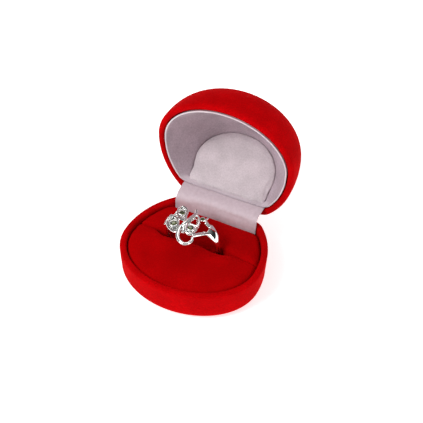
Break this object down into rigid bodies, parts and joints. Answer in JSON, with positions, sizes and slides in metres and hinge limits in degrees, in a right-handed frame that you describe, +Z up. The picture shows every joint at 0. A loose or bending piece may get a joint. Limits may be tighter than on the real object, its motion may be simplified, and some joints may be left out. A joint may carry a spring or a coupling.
{
  "type": "ring box",
  "caption": "Oval flocked clamshell ring box with a spring hinge, slanted lid panel and a slotted cushion holding a dress ring.",
  "frame": {"origin": "middle of the flat underside of the base", "axes": "+Z up, -Y the front, X along the hinge; the lid stands open at the back"},
  "size_m": [0.052, 0.0702, 0.0566],
  "materials": {
    "red_flock": "moulded shell flocked with short nylon pile",
    "red_velvet": "velvet laid over foam",
    "lid_flock": "formed lining with fine pale flock",
    "panel_satin": "satin over a thin puff",
    "strip_satin": "woven satin strip",
    "cushion_foam": "open cell foam",
    "grey_board": "uncoated board",
    "hinge_steel": "plated spring steel",
    "silver": "polished silver",
    "green_stone": "faceted"
  },
  "bodies": {
    "base": {"base_shell": "red_flock", "insert_card": "grey_board", "front_pad_foam": "cushion_foam", "front_pad_cover": "red_velvet", "rear_pad_foam": "cushion_foam", "rear_pad_cover": "red_velvet", "base_hinge_leaf": "hinge_steel", "base_rivet_left": "hinge_steel", "base_rivet_right": "hinge_steel", "hinge_pin": "hinge_steel", "hinge_spring_left": "hinge_steel", "hinge_spring_right": "hinge_steel", "hinge_strip": "strip_satin", "ring_casting": "silver", "ring_stone_back": "green_stone", "ring_stone_left": "green_stone", "ring_stone_right": "green_stone", "ring_stone_tip": "green_stone"},
    "lid": {"lid_shell": "red_flock", "lid_lining": "lid_flock", "panel_card": "grey_board", "panel_puff": "panel_satin", "lid_hinge_leaf": "hinge_steel", "lid_rivet_left": "hinge_steel", "lid_rivet_right": "hinge_steel"}
  },
  "joints": [
    {"name": "lid_hinge", "type": "hinge", "parent": "base", "child": "lid", "pos_m": [0, 0.02426, 0.0115], "axis": [1, 0, 0], "range_deg": [0, 90.9], "deforming": ["hinge_strip"]}
  ]
}
